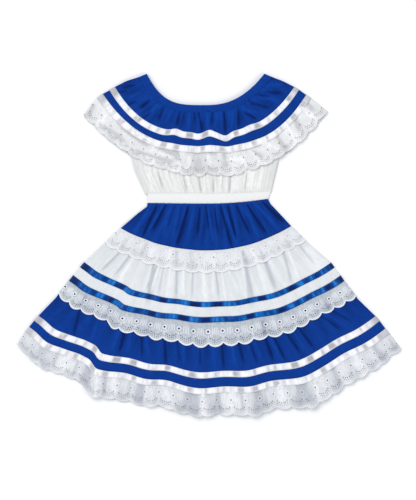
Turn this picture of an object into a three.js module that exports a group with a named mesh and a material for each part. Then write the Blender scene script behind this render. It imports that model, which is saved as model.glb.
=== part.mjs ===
import * as THREE from 'three';

// A girl's off-shoulder dress of blue and white cotton with satin ribbons and eyelet lace, laid flat
// on its back. Millimetres: X runs to the right, Y up to the neck, Z up from the surface it lies on.
// Every piece is a closed wall. Rings go all round the dress, as tubes of cloth pressed flat.

// Cloth, trims and the gaps between them
const CLOTH_WALL = 1.2;
const TRIM_WALL = 1.0;
const ELASTIC_WALL = 2.2;
const SEAM_GAP = 0.35;
const LAYER_GAP = 0.4;
const TRIM_OFFSET = CLOTH_WALL / 2 + LAYER_GAP + TRIM_WALL / 2;

// How a ring lies: half the depth of its side folds, and the columns of its back and of each fold
const FOLD_INSET = 1.5;
const BACK_COLUMNS = 16;
const FOLD_COLUMNS = 4;

// Columns crowd a little towards the sides, where the rows run steeper
const EVEN_SPACING = 0.13;

// Under the flounce lies the bodice, which lifts the flounce's front between these distances from
// the middle of the body
const BODY_MIDDLE_X = -7.5;
const BODICE_LIFT = 3.3;
const LIFT_FULL_TO = 146;
const LIFT_ENDS_AT = 176;

// Eyelet lace: how deep and how round its scallops are, and how much shorter the hem lies at the back
const SCALLOP_DEPTH = 6;
const SCALLOP_ROUNDNESS = 0.7;
const BACK_TUCK = 7;

// Gathers are uneven: they drift sideways by a slow and a quick wave, their heights vary by a share,
// and they and the large folds die out at the sides
const SLOW_DRIFT = { size: 0.9, rate: 5 };
const QUICK_DRIFT = { size: 0.5, rate: 13 };
const HEIGHT_CHANGE = { size: 0.22, rate: 7 };
const SIDE_FADE_POWER = 10;

// Steps for measuring directions on the cloth: along a row, and down it in rows
const TURN_STEP = 0.004;
const PLACE_STEP = 0.02;
const LONG_PLACE_STEP = 0.25;

// Each row of cloth goes from its left end to its right end and sags to its middle. A higher bow
// keeps it level for longer and bends it up later. back and front are the heights of its two walls,
// gather is half the height of its gathers, and fold is its share of the large folds.
const ROW_COLUMNS = ['name', 'leftX', 'leftY', 'rightX', 'rightY', 'middleY', 'bowLeft', 'bowRight',
  'back', 'front', 'gather', 'fold'];

const SKIRT_ROWS = table(ROW_COLUMNS, [
  ['bandTop', -117.8, 102.1, 116.9, 105.0, 102.1, 2.0, 2.0, 1.1, 3.8, 0.0, 0.0],
  ['waist', -117.8, 83.1, 111.2, 90.7, 81.6, 2.0, 2.0, 1.1, 3.8, 0.7, 0.0],
  ['hip', -134.0, 62.2, 134.0, 62.2, 37.5, 2.0, 2.0, 1.6, 4.2, 1.5, 0.0],
  ['seamOne', -168.2, 35.6, 154.9, 39.4, -6.9, 1.9, 1.9, 2.0, 4.6, 0.5, 0.05],
  ['laceOneEdge', -200.5, 5.2, 183.4, 10.9, -50.5, 2.0, 2.0, 2.0, 4.6, 0.9, 0.1],
  ['blueUpperTop', -240.5, -30.9, 231.8, -32.8, -104.2, 2.25, 2.25, 2.0, 4.6, 0.35, 0.2],
  ['blueUpperFoot', -249.3, -41.3, 239.4, -43.2, -115.4, 2.25, 2.25, 2.0, 4.6, 0.35, 0.24],
  ['blueLowerTop', -263.0, -57.5, 249.8, -57.5, -133.5, 2.35, 2.35, 2.0, 4.6, 0.35, 0.28],
  ['seamTwo', -272.7, -68.9, 259.4, -70.8, -145.4, 2.3, 2.3, 2.0, 4.6, 0.4, 0.32],
  ['laceTwoEdge', -293.6, -97.4, 284.0, -101.2, -194.5, 2.0, 2.0, 2.0, 4.6, 1.1, 0.48],
  ['whiteUpperTop', -327.8, -133.5, 318.3, -137.3, -234.9, 2.05, 2.4, 2.0, 4.6, 0.3, 0.65],
  ['whiteUpperFoot', -337.5, -143.9, 325.9, -145.8, -247.3, 2.1, 2.5, 2.0, 4.6, 0.25, 0.7],
  ['seamThree', -346.0, -153.0, 335.4, -156.3, -264.2, 2.12, 2.5, 2.0, 4.6, 0.2, 0.78],
  ['whiteLowerFoot', -354.4, -163.9, 344.9, -167.7, -276.9, 2.15, 2.55, 2.0, 4.6, 0.5, 0.84],
  ['hem', -367.7, -190.5, 365.8, -196.2, -321.5, 2.2, 2.85, 2.0, 4.6, 1.6, 1.0],
]);

const FLOUNCE_ROWS = table(ROW_COLUMNS, [
  ['neckline', -118.8, 328.2, 103.6, 328.2, 268.4, 3.8, 2.4, 2.0, 4.6, 0.0, 0.0],
  ['casingFoot', -134.9, 321.6, 119.7, 321.6, 253.2, 3.6, 2.5, 2.0, 4.6, 0.5, 0.0],
  ['shoulder', -156.8, 314.9, 139.7, 314.0, 235.1, 3.4, 2.8, 2.0, 4.6, 1.3, 0.5],
  ['whiteUpperTop', -179.6, 303.5, 160.6, 303.5, 217.1, 3.3, 3.0, 2.0, 4.6, 0.5, 1.0],
  ['whiteUpperFoot', -190.0, 296.9, 170.0, 297.8, 205.2, 3.2, 3.0, 2.0, 4.6, 0.45, 0.9],
  ['seam', -202.4, 290.2, 183.4, 288.3, 191.4, 2.9, 3.2, 2.0, 4.6, 0.35, 0.3],
  ['whiteLowerFoot', -213.8, 281.7, 192.9, 281.7, 178.1, 2.8, 3.1, 2.0, 4.6, 0.5, 0.25],
  ['laceEdge', -240.4, 248.4, 225.2, 256.0, 133.0, 2.2, 2.5, 2.0, 4.6, 1.2, 0.3],
]);

const BODICE_ROWS = table(ROW_COLUMNS, [
  ['top', -127.3, 307.3, 112.1, 311.2, 252.6, 3.6, 2.5, 3.4, 4.9, 0.15, 0.0],
  ['armhole', -118.0, 262.0, 104.0, 262.0, 212.0, 2.6, 2.6, 3.4, 4.9, 0.3, 0.0],
  ['underarm', -149.2, 180.0, 134.0, 180.0, 166.0, 2.2, 2.2, 3.4, 4.9, 0.4, 0.0],
  ['belowLace', -142.5, 147.0, 125.8, 145.8, 127.0, 2.0, 2.0, 3.4, 4.9, 0.8, 0.0],
  ['waist', -123.5, 103.0, 117.0, 106.4, 102.6, 2.0, 2.0, 1.1, 3.8, 0.9, 0.0],
]);

// Large folds: where each lies from -1, the left side, to 1, the right side, how far it pushes the
// rows down the dress, how high it stands, and how wide it spreads
const FOLD_TABLE_COLUMNS = ['at', 'push', 'rise', 'spread'];

const SKIRT_FOLDS = table(FOLD_TABLE_COLUMNS, [
  [-0.875, 9.0, 6.0, 0.075],
  [-0.69, -6.0, 0.0, 0.08],
  [-0.53, 7.5, 7.0, 0.085],
  [-0.4, -4.0, 0.0, 0.07],
  [-0.213, -8.0, 3.5, 0.075],
  [-0.03, 5.0, 6.0, 0.085],
  [0.205, 4.5, 7.0, 0.08],
  [0.32, -2.5, 0.0, 0.07],
  [0.49, 6.0, 8.0, 0.09],
  [0.74, -7.0, 3.0, 0.1],
]);

const FLOUNCE_FOLDS = table(FOLD_TABLE_COLUMNS, [
  [-0.72, 0.0, 2.5, 0.08],
  [-0.29, -4.5, 2.5, 0.06],
  [-0.06, 3.0, 0.5, 0.05],
  [0.05, -4.0, 2.5, 0.05],
  [0.2, 7.5, 1.5, 0.06],
  [0.46, -2.5, 3.0, 0.07],
  [0.75, 0.0, 2.0, 0.08],
]);

// The forms that rings follow. The neck casing lies between the walls of bodice and flounce, so both
// of its own walls are raised from the flounce's rows.
const SKIRT = { rows: SKIRT_ROWS, folds: SKIRT_FOLDS, backRise: 0, frontRise: 0, bodiceLift: 0 };
const FLOUNCE = { ...SKIRT, rows: FLOUNCE_ROWS, folds: FLOUNCE_FOLDS, bodiceLift: BODICE_LIFT };
const NECK = { ...SKIRT, rows: FLOUNCE_ROWS, folds: FLOUNCE_FOLDS, backRise: 0.6, frontRise: 2.0 };

// Gathers across the front of a piece
const FLOUNCE_GATHERS = { count: 14, phase: 0.4 };
const FLOUNCE_LACE_GATHERS = { count: 9, phase: 1.1 };
const BODICE_GATHERS = { count: 18, phase: 2.0 };
const TIER_ONE_GATHERS = { count: 14, phase: 0.0 };
const TIER_TWO_GATHERS = { count: 18, phase: 1.3 };
const TIER_THREE_GATHERS = { count: 16, phase: 2.6 };
const HEM_LACE_GATHERS = { count: 14, phase: 0.7 };
const LACE_ONE_FLUTES = { count: 7, phase: 0.2, height: 0.6 };
const LACE_TWO_FLUTES = { count: 10, phase: 1.9, height: 0.7 };

const BLUE_COTTON = { color: 0x1c46a3, roughness: 0.85, metalness: 0 };
const WHITE_COTTON = { color: 0xf1f3f6, roughness: 0.85, metalness: 0 };
const WHITE_LACE = { color: 0xe9ebf0, roughness: 0.9, metalness: 0 };
const WHITE_SATIN = { color: 0xf7f8fb, roughness: 0.3, metalness: 0 };
const BLUE_SATIN = { color: 0x0f5cc8, roughness: 0.3, metalness: 0 };

// Rows of plain values as objects with named fields
function table(columns, rows) {
  return rows.map((row) => Object.fromEntries(columns.map((column, place) => [column, row[place]])));
}

function clamp(value, low, high) {
  return Math.min(Math.max(value, low), high);
}

function mix(from, to, share) {
  return from + (to - from) * share;
}

function smoothStep(from, to, value) {
  const share = clamp((value - from) / (to - from), 0, 1);
  return share * share * (3 - 2 * share);
}

function placeOf(rows, name) {
  return rows.findIndex((row) => row.name === name);
}

// The row at a place between two rows of a table
function rowAt(rows, place) {
  const upper = clamp(Math.floor(place), 0, rows.length - 2);
  const share = place - upper;
  const row = {};
  for (const column of ROW_COLUMNS.slice(1)) {
    row[column] = mix(rows[upper][column], rows[upper + 1][column], share);
  }
  return row;
}

// A place a few millimetres above another, measured at the middle of the cloth
function above(rows, place, distance) {
  const upper = clamp(Math.ceil(place) - 1, 0, rows.length - 2);
  return place - distance / (rows[upper].middleY - rows[upper + 1].middleY);
}

// The direction that points away from the cloth at a side of the ring
function outward(rows, place, side) {
  const over = rowAt(rows, place - LONG_PLACE_STEP);
  const under = rowAt(rows, place + LONG_PLACE_STEP);
  const x = side < 0 ? under.leftX - over.leftX : under.rightX - over.rightX;
  const y = side < 0 ? under.leftY - over.leftY : under.rightY - over.rightY;
  const length = Math.hypot(x, y);
  return new THREE.Vector3((y / length) * side * -1, (x / length) * side, 0);
}

// A point of a row seen from above. inset draws its ends in, to leave room for the side folds.
function planePoint(rows, place, across, inset) {
  const row = rowAt(rows, place);
  const side = across < 0 ? -1 : 1;
  const reach = Math.abs(across) * (1 + EVEN_SPACING * (1 - across * across));
  const away = outward(rows, place, side).multiplyScalar(inset);
  const endX = (side < 0 ? row.leftX : row.rightX) - away.x;
  const endY = (side < 0 ? row.leftY : row.rightY) - away.y;
  const bow = side < 0 ? row.bowLeft : row.bowRight;
  const x = mix((row.leftX + row.rightX) / 2, endX, reach);
  return new THREE.Vector3(x, mix(row.middleY, endY, reach ** bow), 0);
}

function sideFade(across) {
  return 1 - across ** SIDE_FADE_POWER;
}

// The push or the rise of all the large folds together
function foldSum(folds, across, column) {
  const share = (fold) => fold[column] * Math.exp(-(((across - fold.at) / fold.spread) ** 2));
  return folds.reduce((sum, fold) => sum + share(fold), 0) * sideFade(across);
}

// Gathers as a wave from 0 to 2, uneven in width and height and flat at the sides
function gatherWave(across, gathers) {
  if (!gathers) {
    return 0;
  }
  const { count, phase } = gathers;
  const swing = (change, phases) => change.size * Math.sin(change.rate * across + phases * phase);
  const wave = 1 - Math.cos(Math.PI * count * (across + 1) + swing(SLOW_DRIFT, 1) + swing(QUICK_DRIFT, 2));
  return wave * (1 - HEIGHT_CHANGE.size + swing(HEIGHT_CHANGE, 3)) * sideFade(across);
}

// How far the bodice lifts the front of a form that lies over it
function liftAt(form, x) {
  return form.bodiceLift * (1 - smoothStep(LIFT_FULL_TO, LIFT_ENDS_AT, Math.abs(x - BODY_MIDDLE_X)));
}

function frontPoint(form, place, across, gathers) {
  const row = rowAt(form.rows, place);
  const point = planePoint(form.rows, place, across, FOLD_INSET);
  const down = planePoint(form.rows, place + LONG_PLACE_STEP, across, FOLD_INSET);
  down.sub(planePoint(form.rows, place - LONG_PLACE_STEP, across, FOLD_INSET)).normalize();
  point.addScaledVector(down, foldSum(form.folds, across, 'push') * row.fold);
  point.z = row.front + form.frontRise + liftAt(form, point.x);
  point.z += foldSum(form.folds, across, 'rise') * row.fold + gatherWave(across, gathers) * row.gather;
  return point;
}

function backPoint(form, place, across) {
  const point = planePoint(form.rows, place, across, FOLD_INSET);
  point.z = rowAt(form.rows, place).back + form.backRise;
  return point;
}

// A point of a ring laid flat. turn goes from 0 to 4: along the front from left to right, round the
// right fold, along the back to the left, and round the left fold.
function ringPoint(form, place, turn, gathers) {
  const turned = (turn + 4) % 4;
  const stretch = Math.floor(turned);
  const part = turned - stretch;
  if (stretch === 0) {
    return frontPoint(form, place, 2 * part - 1, gathers);
  }
  if (stretch === 2) {
    return backPoint(form, place, 1 - 2 * part);
  }
  const side = stretch === 1 ? 1 : -1;
  const angle = Math.PI * (stretch === 1 ? part : 1 - part);
  const top = frontPoint(form, place, side, gathers);
  const foot = backPoint(form, place, side);
  const point = top.clone().add(foot).multiplyScalar(0.5);
  point.addScaledVector(outward(form.rows, place, side), FOLD_INSET * Math.sin(angle));
  point.z += ((top.z - foot.z) / 2) * Math.cos(angle);
  return point;
}

// The direction out of the cloth at a point of a surface, which takes a place and a turn
function normalOf(surface, place, turn) {
  const along = surface(place, turn + TURN_STEP).sub(surface(place, turn - TURN_STEP));
  const down = surface(place + PLACE_STEP, turn).sub(surface(place - PLACE_STEP, turn));
  return down.cross(along).normalize();
}

// Turns of a ring's columns
function ringTurns(frontColumns) {
  const stretches = [frontColumns, FOLD_COLUMNS, BACK_COLUMNS, FOLD_COLUMNS];
  return stretches.flatMap((count, stretch) => Array.from({ length: count }, (_, i) => stretch + i / count));
}

// A closed wall round rows of points, half its thickness to each side of them
function wallGeometry(points, normals, thickness, isRing) {
  const rowCount = points.length;
  const columns = points[0].length;
  const positions = [];
  for (const half of [thickness / 2, -thickness / 2]) {
    points.forEach((row, r) => row.forEach((point, c) => {
      positions.push(...point.clone().addScaledVector(normals[r][c], half).toArray());
    }));
  }
  const outer = (r, c) => r * columns + (c % columns);
  const inner = (r, c) => rowCount * columns + outer(r, c);
  const faces = [];
  const quad = (a, b, c, d) => faces.push(a, b, c, a, c, d);
  const last = rowCount - 1;
  const spans = isRing ? columns : columns - 1;
  for (let c = 0; c < spans; c += 1) {
    for (let r = 0; r < last; r += 1) {
      quad(outer(r, c), outer(r + 1, c), outer(r + 1, c + 1), outer(r, c + 1));
      quad(inner(r, c), inner(r, c + 1), inner(r + 1, c + 1), inner(r + 1, c));
    }
    quad(outer(0, c), outer(0, c + 1), inner(0, c + 1), inner(0, c));
    quad(outer(last, c), inner(last, c), inner(last, c + 1), outer(last, c + 1));
  }
  for (let r = 0; !isRing && r < last; r += 1) {
    quad(outer(r, 0), inner(r, 0), inner(r + 1, 0), outer(r + 1, 0));
    quad(outer(r, spans), outer(r + 1, spans), inner(r + 1, spans), inner(r, spans));
  }
  const geometry = new THREE.BufferGeometry();
  geometry.setAttribute('position', new THREE.Float32BufferAttribute(positions, 3));
  geometry.setIndex(faces);
  geometry.computeVertexNormals();
  return geometry;
}

function makePiece(name, geometry, finish) {
  const piece = new THREE.Mesh(geometry, new THREE.MeshStandardMaterial(finish));
  piece.name = name;
  return piece;
}

// How far above its row the edge of the lace lies at a turn: full scallops hang down in front, and
// the back keeps to their cusps and is tucked up a little
function edgeRise(turn, scallops, tuck) {
  if (turn > 2 && turn < 3) {
    const across = 1 - 2 * (turn - 2);
    return SCALLOP_DEPTH + tuck * (1 - across ** 4);
  }
  const part = turn < 1 ? turn * scallops : 0;
  return SCALLOP_DEPTH * (1 - Math.abs(Math.sin(Math.PI * part)) ** SCALLOP_ROUNDNESS);
}

// A ring through the named rows of its form, from top to foot, on a surface of places and turns
function ringPiece(name, form, rowNames, surface, options) {
  const { columns, wall, finish, footGap = 0, scallops = 0, tuck = 0 } = options;
  const turns = ringTurns(columns);
  const places = rowNames.map((row) => placeOf(form.rows, row));
  const foot = places.pop();
  const footAt = (turn) => above(form.rows, foot, scallops ? edgeRise(turn, scallops, tuck) : footGap);
  const rows = places.map((place) => turns.map(() => place));
  rows.push(turns.map(footAt));
  const points = rows.map((row) => row.map((place, c) => surface(place, turns[c])));
  const normals = rows.map((row) => row.map((place, c) => normalOf(surface, place, turns[c])));
  return makePiece(name, wallGeometry(points, normals, wall, true), finish);
}

// Cloth of the ring itself, with its gathers
function clothSurface(form, gathers) {
  return (place, turn) => ringPoint(form, place, turn, gathers);
}

// A trim on the ring: the ring's points moved out over its gathers. Lace that hangs free from its
// top row has soft flutes of its own, which grow towards its edge.
function trimSurface(form, topRow, flutes) {
  const bare = clothSurface(form, null);
  const top = placeOf(form.rows, topRow);
  return (place, turn) => {
    const across = turn > 0 && turn < 1 ? 2 * turn - 1 : 1;
    const gather = 2 * rowAt(form.rows, place).gather * sideFade(across);
    const flute = flutes ? flutes.height * (place - top) * gatherWave(across, flutes) : 0;
    return bare(place, turn).addScaledVector(normalOf(bare, place, turn), TRIM_OFFSET + gather + flute);
  };
}

// One wall of the bodice, from side to side
function bodicePanel(name, level, columns, gathers) {
  const surface = (place, across) => {
    const row = rowAt(BODICE_ROWS, place);
    const point = planePoint(BODICE_ROWS, place, across, 0);
    point.z = row[level] + gatherWave(across, gathers) * row.gather;
    return point;
  };
  const stations = Array.from({ length: columns + 1 }, (_, i) => -1 + (2 * i) / columns);
  const points = BODICE_ROWS.map((_, place) => stations.map((across) => surface(place, across)));
  const normals = BODICE_ROWS.map((_, place) => stations.map((across) => normalOf(surface, place, across)));
  return makePiece(name, wallGeometry(points, normals, CLOTH_WALL, false), WHITE_COTTON);
}

function ribbon(name, form, topRow, footRow, columns, finish) {
  const options = { columns, wall: TRIM_WALL, finish, footGap: SEAM_GAP };
  return ringPiece(name, form, [topRow, footRow], trimSurface(form, topRow, null), options);
}

const dress = new THREE.Group();

// Neck, flounce and bodice
dress.add(
  ringPiece('neck_casing', NECK, ['neckline', 'casingFoot'], clothSurface(NECK, null), {
    columns: 36, wall: ELASTIC_WALL, finish: BLUE_COTTON, footGap: SEAM_GAP,
  }),
  ringPiece('flounce', FLOUNCE, ['casingFoot', 'shoulder', 'whiteUpperTop', 'whiteUpperFoot', 'seam'],
    clothSurface(FLOUNCE, FLOUNCE_GATHERS), {
      columns: 70, wall: CLOTH_WALL, finish: BLUE_COTTON, footGap: SEAM_GAP,
    }),
  ringPiece('flounce_lace', FLOUNCE, ['seam', 'laceEdge'], clothSurface(FLOUNCE, FLOUNCE_LACE_GATHERS), {
    columns: 80, wall: TRIM_WALL, finish: WHITE_LACE, scallops: 20,
  }),
  ribbon('flounce_ribbon_upper', FLOUNCE, 'whiteUpperTop', 'whiteUpperFoot', 60, WHITE_SATIN),
  ribbon('flounce_ribbon_lower', FLOUNCE, 'seam', 'whiteLowerFoot', 48, WHITE_SATIN),
  bodicePanel('bodice_front', 'front', 90, BODICE_GATHERS),
  bodicePanel('bodice_back', 'back', 20, null),
);

// Waistband and the three tiers of the skirt
dress.add(
  ringPiece('waistband', SKIRT, ['bandTop', 'waist'], clothSurface(SKIRT, null), {
    columns: 24, wall: ELASTIC_WALL, finish: WHITE_COTTON, footGap: 2 * SEAM_GAP,
  }),
  ringPiece('tier_1', SKIRT, ['waist', 'hip', 'seamOne'], clothSurface(SKIRT, TIER_ONE_GATHERS), {
    columns: 84, wall: CLOTH_WALL, finish: BLUE_COTTON, footGap: SEAM_GAP,
  }),
  ringPiece('tier_2', SKIRT, ['seamOne', 'laceOneEdge', 'blueUpperTop', 'seamTwo'],
    clothSurface(SKIRT, TIER_TWO_GATHERS), {
      columns: 90, wall: CLOTH_WALL, finish: WHITE_COTTON, footGap: SEAM_GAP,
    }),
  ringPiece('tier_3', SKIRT, ['seamTwo', 'laceTwoEdge', 'whiteUpperTop', 'seamThree'],
    clothSurface(SKIRT, TIER_THREE_GATHERS), {
      columns: 80, wall: CLOTH_WALL, finish: BLUE_COTTON, footGap: SEAM_GAP,
    }),
);

// Laces and ribbons of the skirt
dress.add(
  ringPiece('lace_1', SKIRT, ['seamOne', 'laceOneEdge'], trimSurface(SKIRT, 'seamOne', LACE_ONE_FLUTES), {
    columns: 60, wall: TRIM_WALL, finish: WHITE_LACE, scallops: 15,
  }),
  ringPiece('lace_2', SKIRT, ['seamTwo', 'laceTwoEdge'], trimSurface(SKIRT, 'seamTwo', LACE_TWO_FLUTES), {
    columns: 88, wall: TRIM_WALL, finish: WHITE_LACE, scallops: 22,
  }),
  ringPiece('hem_lace', SKIRT, ['seamThree', 'hem'], clothSurface(SKIRT, HEM_LACE_GATHERS), {
    columns: 116, wall: TRIM_WALL, finish: WHITE_LACE, scallops: 29, tuck: BACK_TUCK,
  }),
  ribbon('blue_ribbon_upper', SKIRT, 'blueUpperTop', 'blueUpperFoot', 48, BLUE_SATIN),
  ribbon('blue_ribbon_lower', SKIRT, 'blueLowerTop', 'seamTwo', 48, BLUE_SATIN),
  ribbon('white_ribbon_upper', SKIRT, 'whiteUpperTop', 'whiteUpperFoot', 60, WHITE_SATIN),
  ribbon('white_ribbon_lower', SKIRT, 'seamThree', 'whiteLowerFoot', 60, WHITE_SATIN),
);

export default dress;
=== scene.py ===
import math

import bmesh
import bpy
import mathutils
import numpy as np
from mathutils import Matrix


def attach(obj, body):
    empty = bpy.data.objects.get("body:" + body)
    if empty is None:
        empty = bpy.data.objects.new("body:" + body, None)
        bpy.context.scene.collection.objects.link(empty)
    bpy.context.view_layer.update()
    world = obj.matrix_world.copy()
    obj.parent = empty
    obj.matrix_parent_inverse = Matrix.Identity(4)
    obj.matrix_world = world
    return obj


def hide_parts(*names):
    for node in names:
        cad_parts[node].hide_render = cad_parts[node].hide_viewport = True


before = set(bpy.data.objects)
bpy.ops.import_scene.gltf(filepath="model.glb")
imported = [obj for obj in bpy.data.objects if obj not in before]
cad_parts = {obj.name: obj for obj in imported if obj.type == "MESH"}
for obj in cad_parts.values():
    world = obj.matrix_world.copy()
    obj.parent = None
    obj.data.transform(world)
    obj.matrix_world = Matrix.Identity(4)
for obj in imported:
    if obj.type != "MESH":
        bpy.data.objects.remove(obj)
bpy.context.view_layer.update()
scene = bpy.context.scene

# ---------------------------------------------------------------- camera
# The camera hangs straight above the dress, with the collar at the top of its frame.
CAMERA_HEIGHT = 3.0
FRAME_LENGTH = 0.95
FRAME_CENTRE = (-0.0029, -0.0062)

camera = bpy.data.objects.new("camera", bpy.data.cameras.new("camera"))
camera.data.lens = camera.data.sensor_width * CAMERA_HEIGHT / FRAME_LENGTH
camera.location = (*FRAME_CENTRE, CAMERA_HEIGHT)
scene.collection.objects.link(camera)
scene.camera = camera

# ---------------------------------------------------------------- floor and light
# A plain pale floor, and soft studio light: one broad window of light from the upper left, a weaker
# one from the right, and an even sky.
FLOOR_SIZE = 30.0
FLOOR_DROP = 0.0006
FLOOR_ROUGHNESS = 0.9
FLOOR_COLOUR = (0.96, 0.96, 0.965, 1)
SKY_COLOUR = (0.93, 0.96, 1.0, 1)
SKY_STRENGTH = 0.6
WINDOWS = {
    # name: (place, size, power)
    "key": ((-2.1, 2.0, 4.8), 3.4, 160.0),
    "fill": ((2.6, -1.6, 3.4), 2.6, 40.0),
}

scene.view_settings.view_transform = "Standard"
world = bpy.data.worlds.new("studio")
world.use_nodes = True
world.node_tree.nodes["Background"].inputs["Color"].default_value = SKY_COLOUR
world.node_tree.nodes["Background"].inputs["Strength"].default_value = SKY_STRENGTH
scene.world = world
for name, (place, size, power) in WINDOWS.items():
    light = bpy.data.objects.new(name, bpy.data.lights.new(name, "AREA"))
    light.data.size = size
    light.data.energy = power
    light.location = place
    light.rotation_euler = (-light.location).to_track_quat("-Z", "Y").to_euler()
    scene.collection.objects.link(light)

floor_mesh = bmesh.new()
bmesh.ops.create_grid(floor_mesh, x_segments=1, y_segments=1, size=FLOOR_SIZE / 2)
bmesh.ops.translate(floor_mesh, verts=floor_mesh.verts, vec=(0, 0, -FLOOR_DROP))
floor = bpy.data.objects.new("floor", bpy.data.meshes.new("floor"))
floor_mesh.to_mesh(floor.data)
floor_mesh.free()
scene.collection.objects.link(floor)
floor_paint = bpy.data.materials.new("pale floor")
floor_paint.use_nodes = True
floor_paint.node_tree.nodes["Principled BSDF"].inputs["Base Color"].default_value = FLOOR_COLOUR
floor_paint.node_tree.nodes["Principled BSDF"].inputs["Roughness"].default_value = FLOOR_ROUGHNESS
floor.data.materials.append(floor_paint)

# ---------------------------------------------------------------- flounce
# The deep blue cotton frill round neck and shoulders: one ring of cloth, gathered at its top edge
# into the neck casing and left loose below, over the bodice.
MM = 0.001
FOLD_INSET = 1.5
EVEN_SPACING = 0.13
BODY_MIDDLE_X = -7.5
BODICE_LIFT = 3.3
LIFT_FULL_TO = 146
LIFT_ENDS_AT = 176
SHELL = 0.0005
LONG_STEP = 0.25
DEEPEST_DIP = 1.1
BACK_SOFTNESS = 0.4
PLAN_SQUARE = 1.9
PLAN_MIDDLE = (209.5, 246.75)
FLOUNCE_ROWS = {
    # left x, y, right x, y, middle y, bow left, bow right, back and front levels, gather, fold (mm)
    "neckline": (-118.8, 328.2, 103.6, 328.2, 268.4, 3.8, 2.4, 2, 4.6, 0, 0),
    "casingFoot": (-134.9, 321.6, 119.7, 321.6, 253.2, 3.6, 2.5, 2, 4.6, 0.5, 0),
    "shoulder": (-156.8, 314.9, 139.7, 314, 235.1, 3.4, 2.8, 2, 4.6, 1.3, 0.5),
    "whiteUpperTop": (-179.6, 303.5, 160.6, 303.5, 217.1, 3.3, 3, 2, 4.6, 0.5, 1),
    "whiteUpperFoot": (-190, 296.9, 170, 297.8, 205.2, 3.2, 3, 2, 4.6, 0.45, 0.9),
    "seam": (-202.4, 290.2, 183.4, 288.3, 191.4, 2.9, 3.2, 2, 4.6, 0.35, 0.3),
    "whiteLowerFoot": (-213.8, 281.7, 192.9, 281.7, 178.1, 2.8, 3.1, 2, 4.6, 0.5, 0.25),
    "laceEdge": (-240.4, 248.4, 225.2, 256, 133, 2.2, 2.5, 2, 4.6, 1.2, 0.3),
}
FLOUNCE_FOLDS = (
    # place across, push down, rise, spread
    (-0.72, 0, 2.5, 0.08), (-0.29, -4.5, 2.5, 0.06), (-0.06, 3, 0.5, 0.05), (0.05, -4, 2.5, 0.05),
    (0.2, 7.5, 1.5, 0.06), (0.46, -2.5, 3, 0.07), (0.75, 0, 2, 0.08),
)
FLOUNCE_CREASES = (
    # head x, y and foot x, y on the plan's squares; height, width and lean (mm)
    (198, 111, 202, 133, -2.2, 2.6, 0.5), (207, 110, 207, 128, 1.8, 3.2, 0),
    (180, 110, 176, 127, -1.7, 2.8, 0.4), (190, 111, 189, 130, 1.4, 3, 0),
    (217, 112, 215, 130, 1.6, 3.4, 0), (224, 111, 226, 136, -2.4, 3.4, -0.4),
    (238, 110, 238, 130, -1.8, 3, 0.4), (233, 112, 231, 133, 1.5, 3.2, 0),
    (150, 100, 140, 108, -1.9, 2.6, 0.4), (158, 104, 150, 116, 1.6, 3, 0),
    (164, 107, 158, 121, -1.6, 2.6, 0.3), (172, 109, 167, 124, 1.5, 2.8, 0),
    (141, 93, 128, 99, 1.5, 3.2, 0), (136, 85, 122, 88, -1.4, 3, 0.3),
    (243, 113, 258, 120, -2, 2.6, 0.3), (240, 108, 262, 115, 1.4, 3, 0),
    (250, 104, 270, 109, -1.6, 2.4, 0.3), (257, 98, 279, 101, 1.4, 3, 0),
    (262, 93, 284, 94, -1.5, 2.6, 0.3), (266, 86, 284, 84, 1.2, 3.2, 0),
    (131, 79, 117, 80, -1.3, 2.2, 0.3), (128, 91, 114, 93, -1.4, 2.4, 0.3),
    (137, 101, 124, 107, -1.8, 2.4, 0.4), (148, 107, 136, 115, 1.3, 2.4, 0),
    (153, 112, 141, 120, -1.5, 2.2, 0.3), (185, 108, 183, 120, -1.2, 2, 0),
    (194, 108, 195, 122, -1.4, 2.2, 0), (212, 109, 211, 126, -1.6, 2.2, 0.3),
    (229, 109, 229, 126, 1.3, 2.4, 0), (246, 110, 262, 122, 1.2, 2.4, 0),
    (247, 101, 261, 106, -1.3, 2.2, 0.3), (255, 95, 272, 97, -1.5, 2, 0.3),
    (268, 80, 281, 79, -1.2, 2.2, 0.3),
)
FLOUNCE = {
    "rows": FLOUNCE_ROWS, "folds": FLOUNCE_FOLDS, "raised": (0.0, 0.0), "lift": BODICE_LIFT,
    "inward": 1.3}


def place_of(rows, name):
    """The number of a row in its table."""
    return list(rows).index(name)


def row_at(rows, place):
    """The columns of a table of rows, at places between its rows."""
    values = np.array(list(rows.values()))
    upper = np.clip(np.floor(place).astype(int), 0, len(values) - 2)
    share = (place - upper)[:, None]
    return (values[upper] * (1 - share) + values[upper + 1] * share).T


def outward(rows, place, side):
    """The direction away from the cloth at a side of the ring."""
    over, under = row_at(rows, place - LONG_STEP), row_at(rows, place + LONG_STEP)
    x = np.where(side < 0, under[0] - over[0], under[2] - over[2])
    y = np.where(side < 0, under[1] - over[1], under[3] - over[3])
    length = np.hypot(x, y)
    return -side * y / length, side * x / length


def plan_point(rows, place, across, inset=FOLD_INSET):
    """x and y of points of the rows, seen from above."""
    left_x, left_y, right_x, right_y, middle_y, bow_left, bow_right = row_at(rows, place)[:7]
    side = np.where(across < 0, -1.0, 1.0)
    reach = np.abs(across) * (1 + EVEN_SPACING * (1 - across**2))
    away_x, away_y = outward(rows, place, side)
    end_x = np.where(side < 0, left_x, right_x) - away_x * inset
    end_y = np.where(side < 0, left_y, right_y) - away_y * inset
    middle_x = (left_x + right_x) / 2
    x = middle_x + (end_x - middle_x) * reach
    y = middle_y + (end_y - middle_y) * reach ** np.where(side < 0, bow_left, bow_right)
    return x, y


def fold_sum(folds, across, column):
    """The push (1) or the rise (2) of all the large folds together."""
    total = sum(fold[column] * np.exp(-(((across - fold[0]) / fold[3]) ** 2)) for fold in folds)
    return total * (1 - across**10)


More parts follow.
